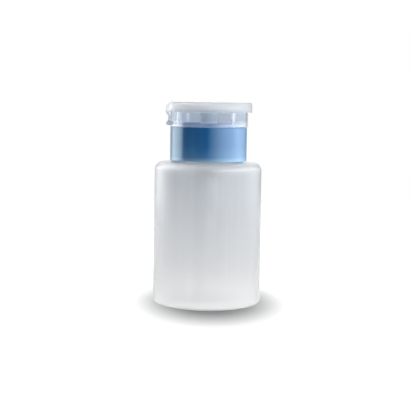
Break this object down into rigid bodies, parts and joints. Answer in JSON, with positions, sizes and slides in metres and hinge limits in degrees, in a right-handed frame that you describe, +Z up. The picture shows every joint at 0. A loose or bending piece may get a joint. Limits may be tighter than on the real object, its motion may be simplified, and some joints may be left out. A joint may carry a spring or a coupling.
{
  "type": "push dish dispenser bottle",
  "caption": "Frosted round bottle with a blue screw collar, a clear flip lid and a spring pump whose dish gives a dose of oil or other liquid when pressed down.",
  "frame": {"origin": "middle of the bottle's foot, on the surface it stands on", "axes": "+Z up along the bottle's axis; the lid's hinge is on the -X side and its front edge on the +X side"},
  "size_m": [0.0604, 0.0604, 0.1128],
  "materials": {
    "frosted_plastic": "frosted translucent",
    "blue_plastic": "glossy translucent",
    "clear_plastic": "clear gloss",
    "white_plastic": "satin moulded",
    "natural_plastic": "milky translucent",
    "soft_plastic": "soft satin",
    "gasket_foam": "matt foam",
    "spring_steel": "bright drawn wire",
    "valve_glass": "polished"
  },
  "bodies": {
    "bottle": {"bottle": "frosted_plastic"},
    "pump_unit": {"pump_cylinder": "natural_plastic", "stem_guide": "white_plastic", "ball_cage": "white_plastic", "dip_tube": "natural_plastic", "neck_gasket": "gasket_foam", "return_spring": "spring_steel"},
    "collar": {"screw_collar": "blue_plastic", "cap_ring": "clear_plastic"},
    "lid": {"flip_lid": "clear_plastic"},
    "plunger": {"press_dish": "white_plastic", "outlet_insert": "white_plastic", "stem": "white_plastic", "piston": "soft_plastic"},
    "inlet_valve": {"inlet_ball": "valve_glass"},
    "outlet_valve": {"outlet_ball": "valve_glass"}
  },
  "joints": [
    {"name": "pump_lift", "type": "slide", "parent": "bottle", "child": "pump_unit", "axis": [0, 0, 1], "range_m": [0, 0.005]},
    {"name": "collar_turn", "type": "hinge", "parent": "pump_unit", "child": "collar", "pos_m": [0, 0, 0.0885], "axis": [0, 0, 1], "range_deg": [0, 450]},
    {"name": "lid_hinge", "type": "hinge", "parent": "collar", "child": "lid", "pos_m": [-0.0224, 0, 0.1004], "axis": [0, -1, 0], "range_deg": [0, 150]},
    {"name": "pump_press", "type": "slide", "parent": "pump_unit", "child": "plunger", "axis": [0, 0, -1], "range_m": [0, 0.005], "stiffness_N_per_m": 500, "springref_m": -0.006, "deforming": ["return_spring"]},
    {"name": "inlet_ball_lift", "type": "slide", "parent": "pump_unit", "child": "inlet_valve", "axis": [0, 0, 1], "range_m": [0, 0.0012]},
    {"name": "outlet_ball_lift", "type": "slide", "parent": "plunger", "child": "outlet_valve", "axis": [0, 0, 1], "range_m": [0, 0.0012]}
  ],
  "couplings": [
    {"joint": "pump_lift", "follows": "collar_turn", "m_per_rad": 0.00063661}
  ]
}
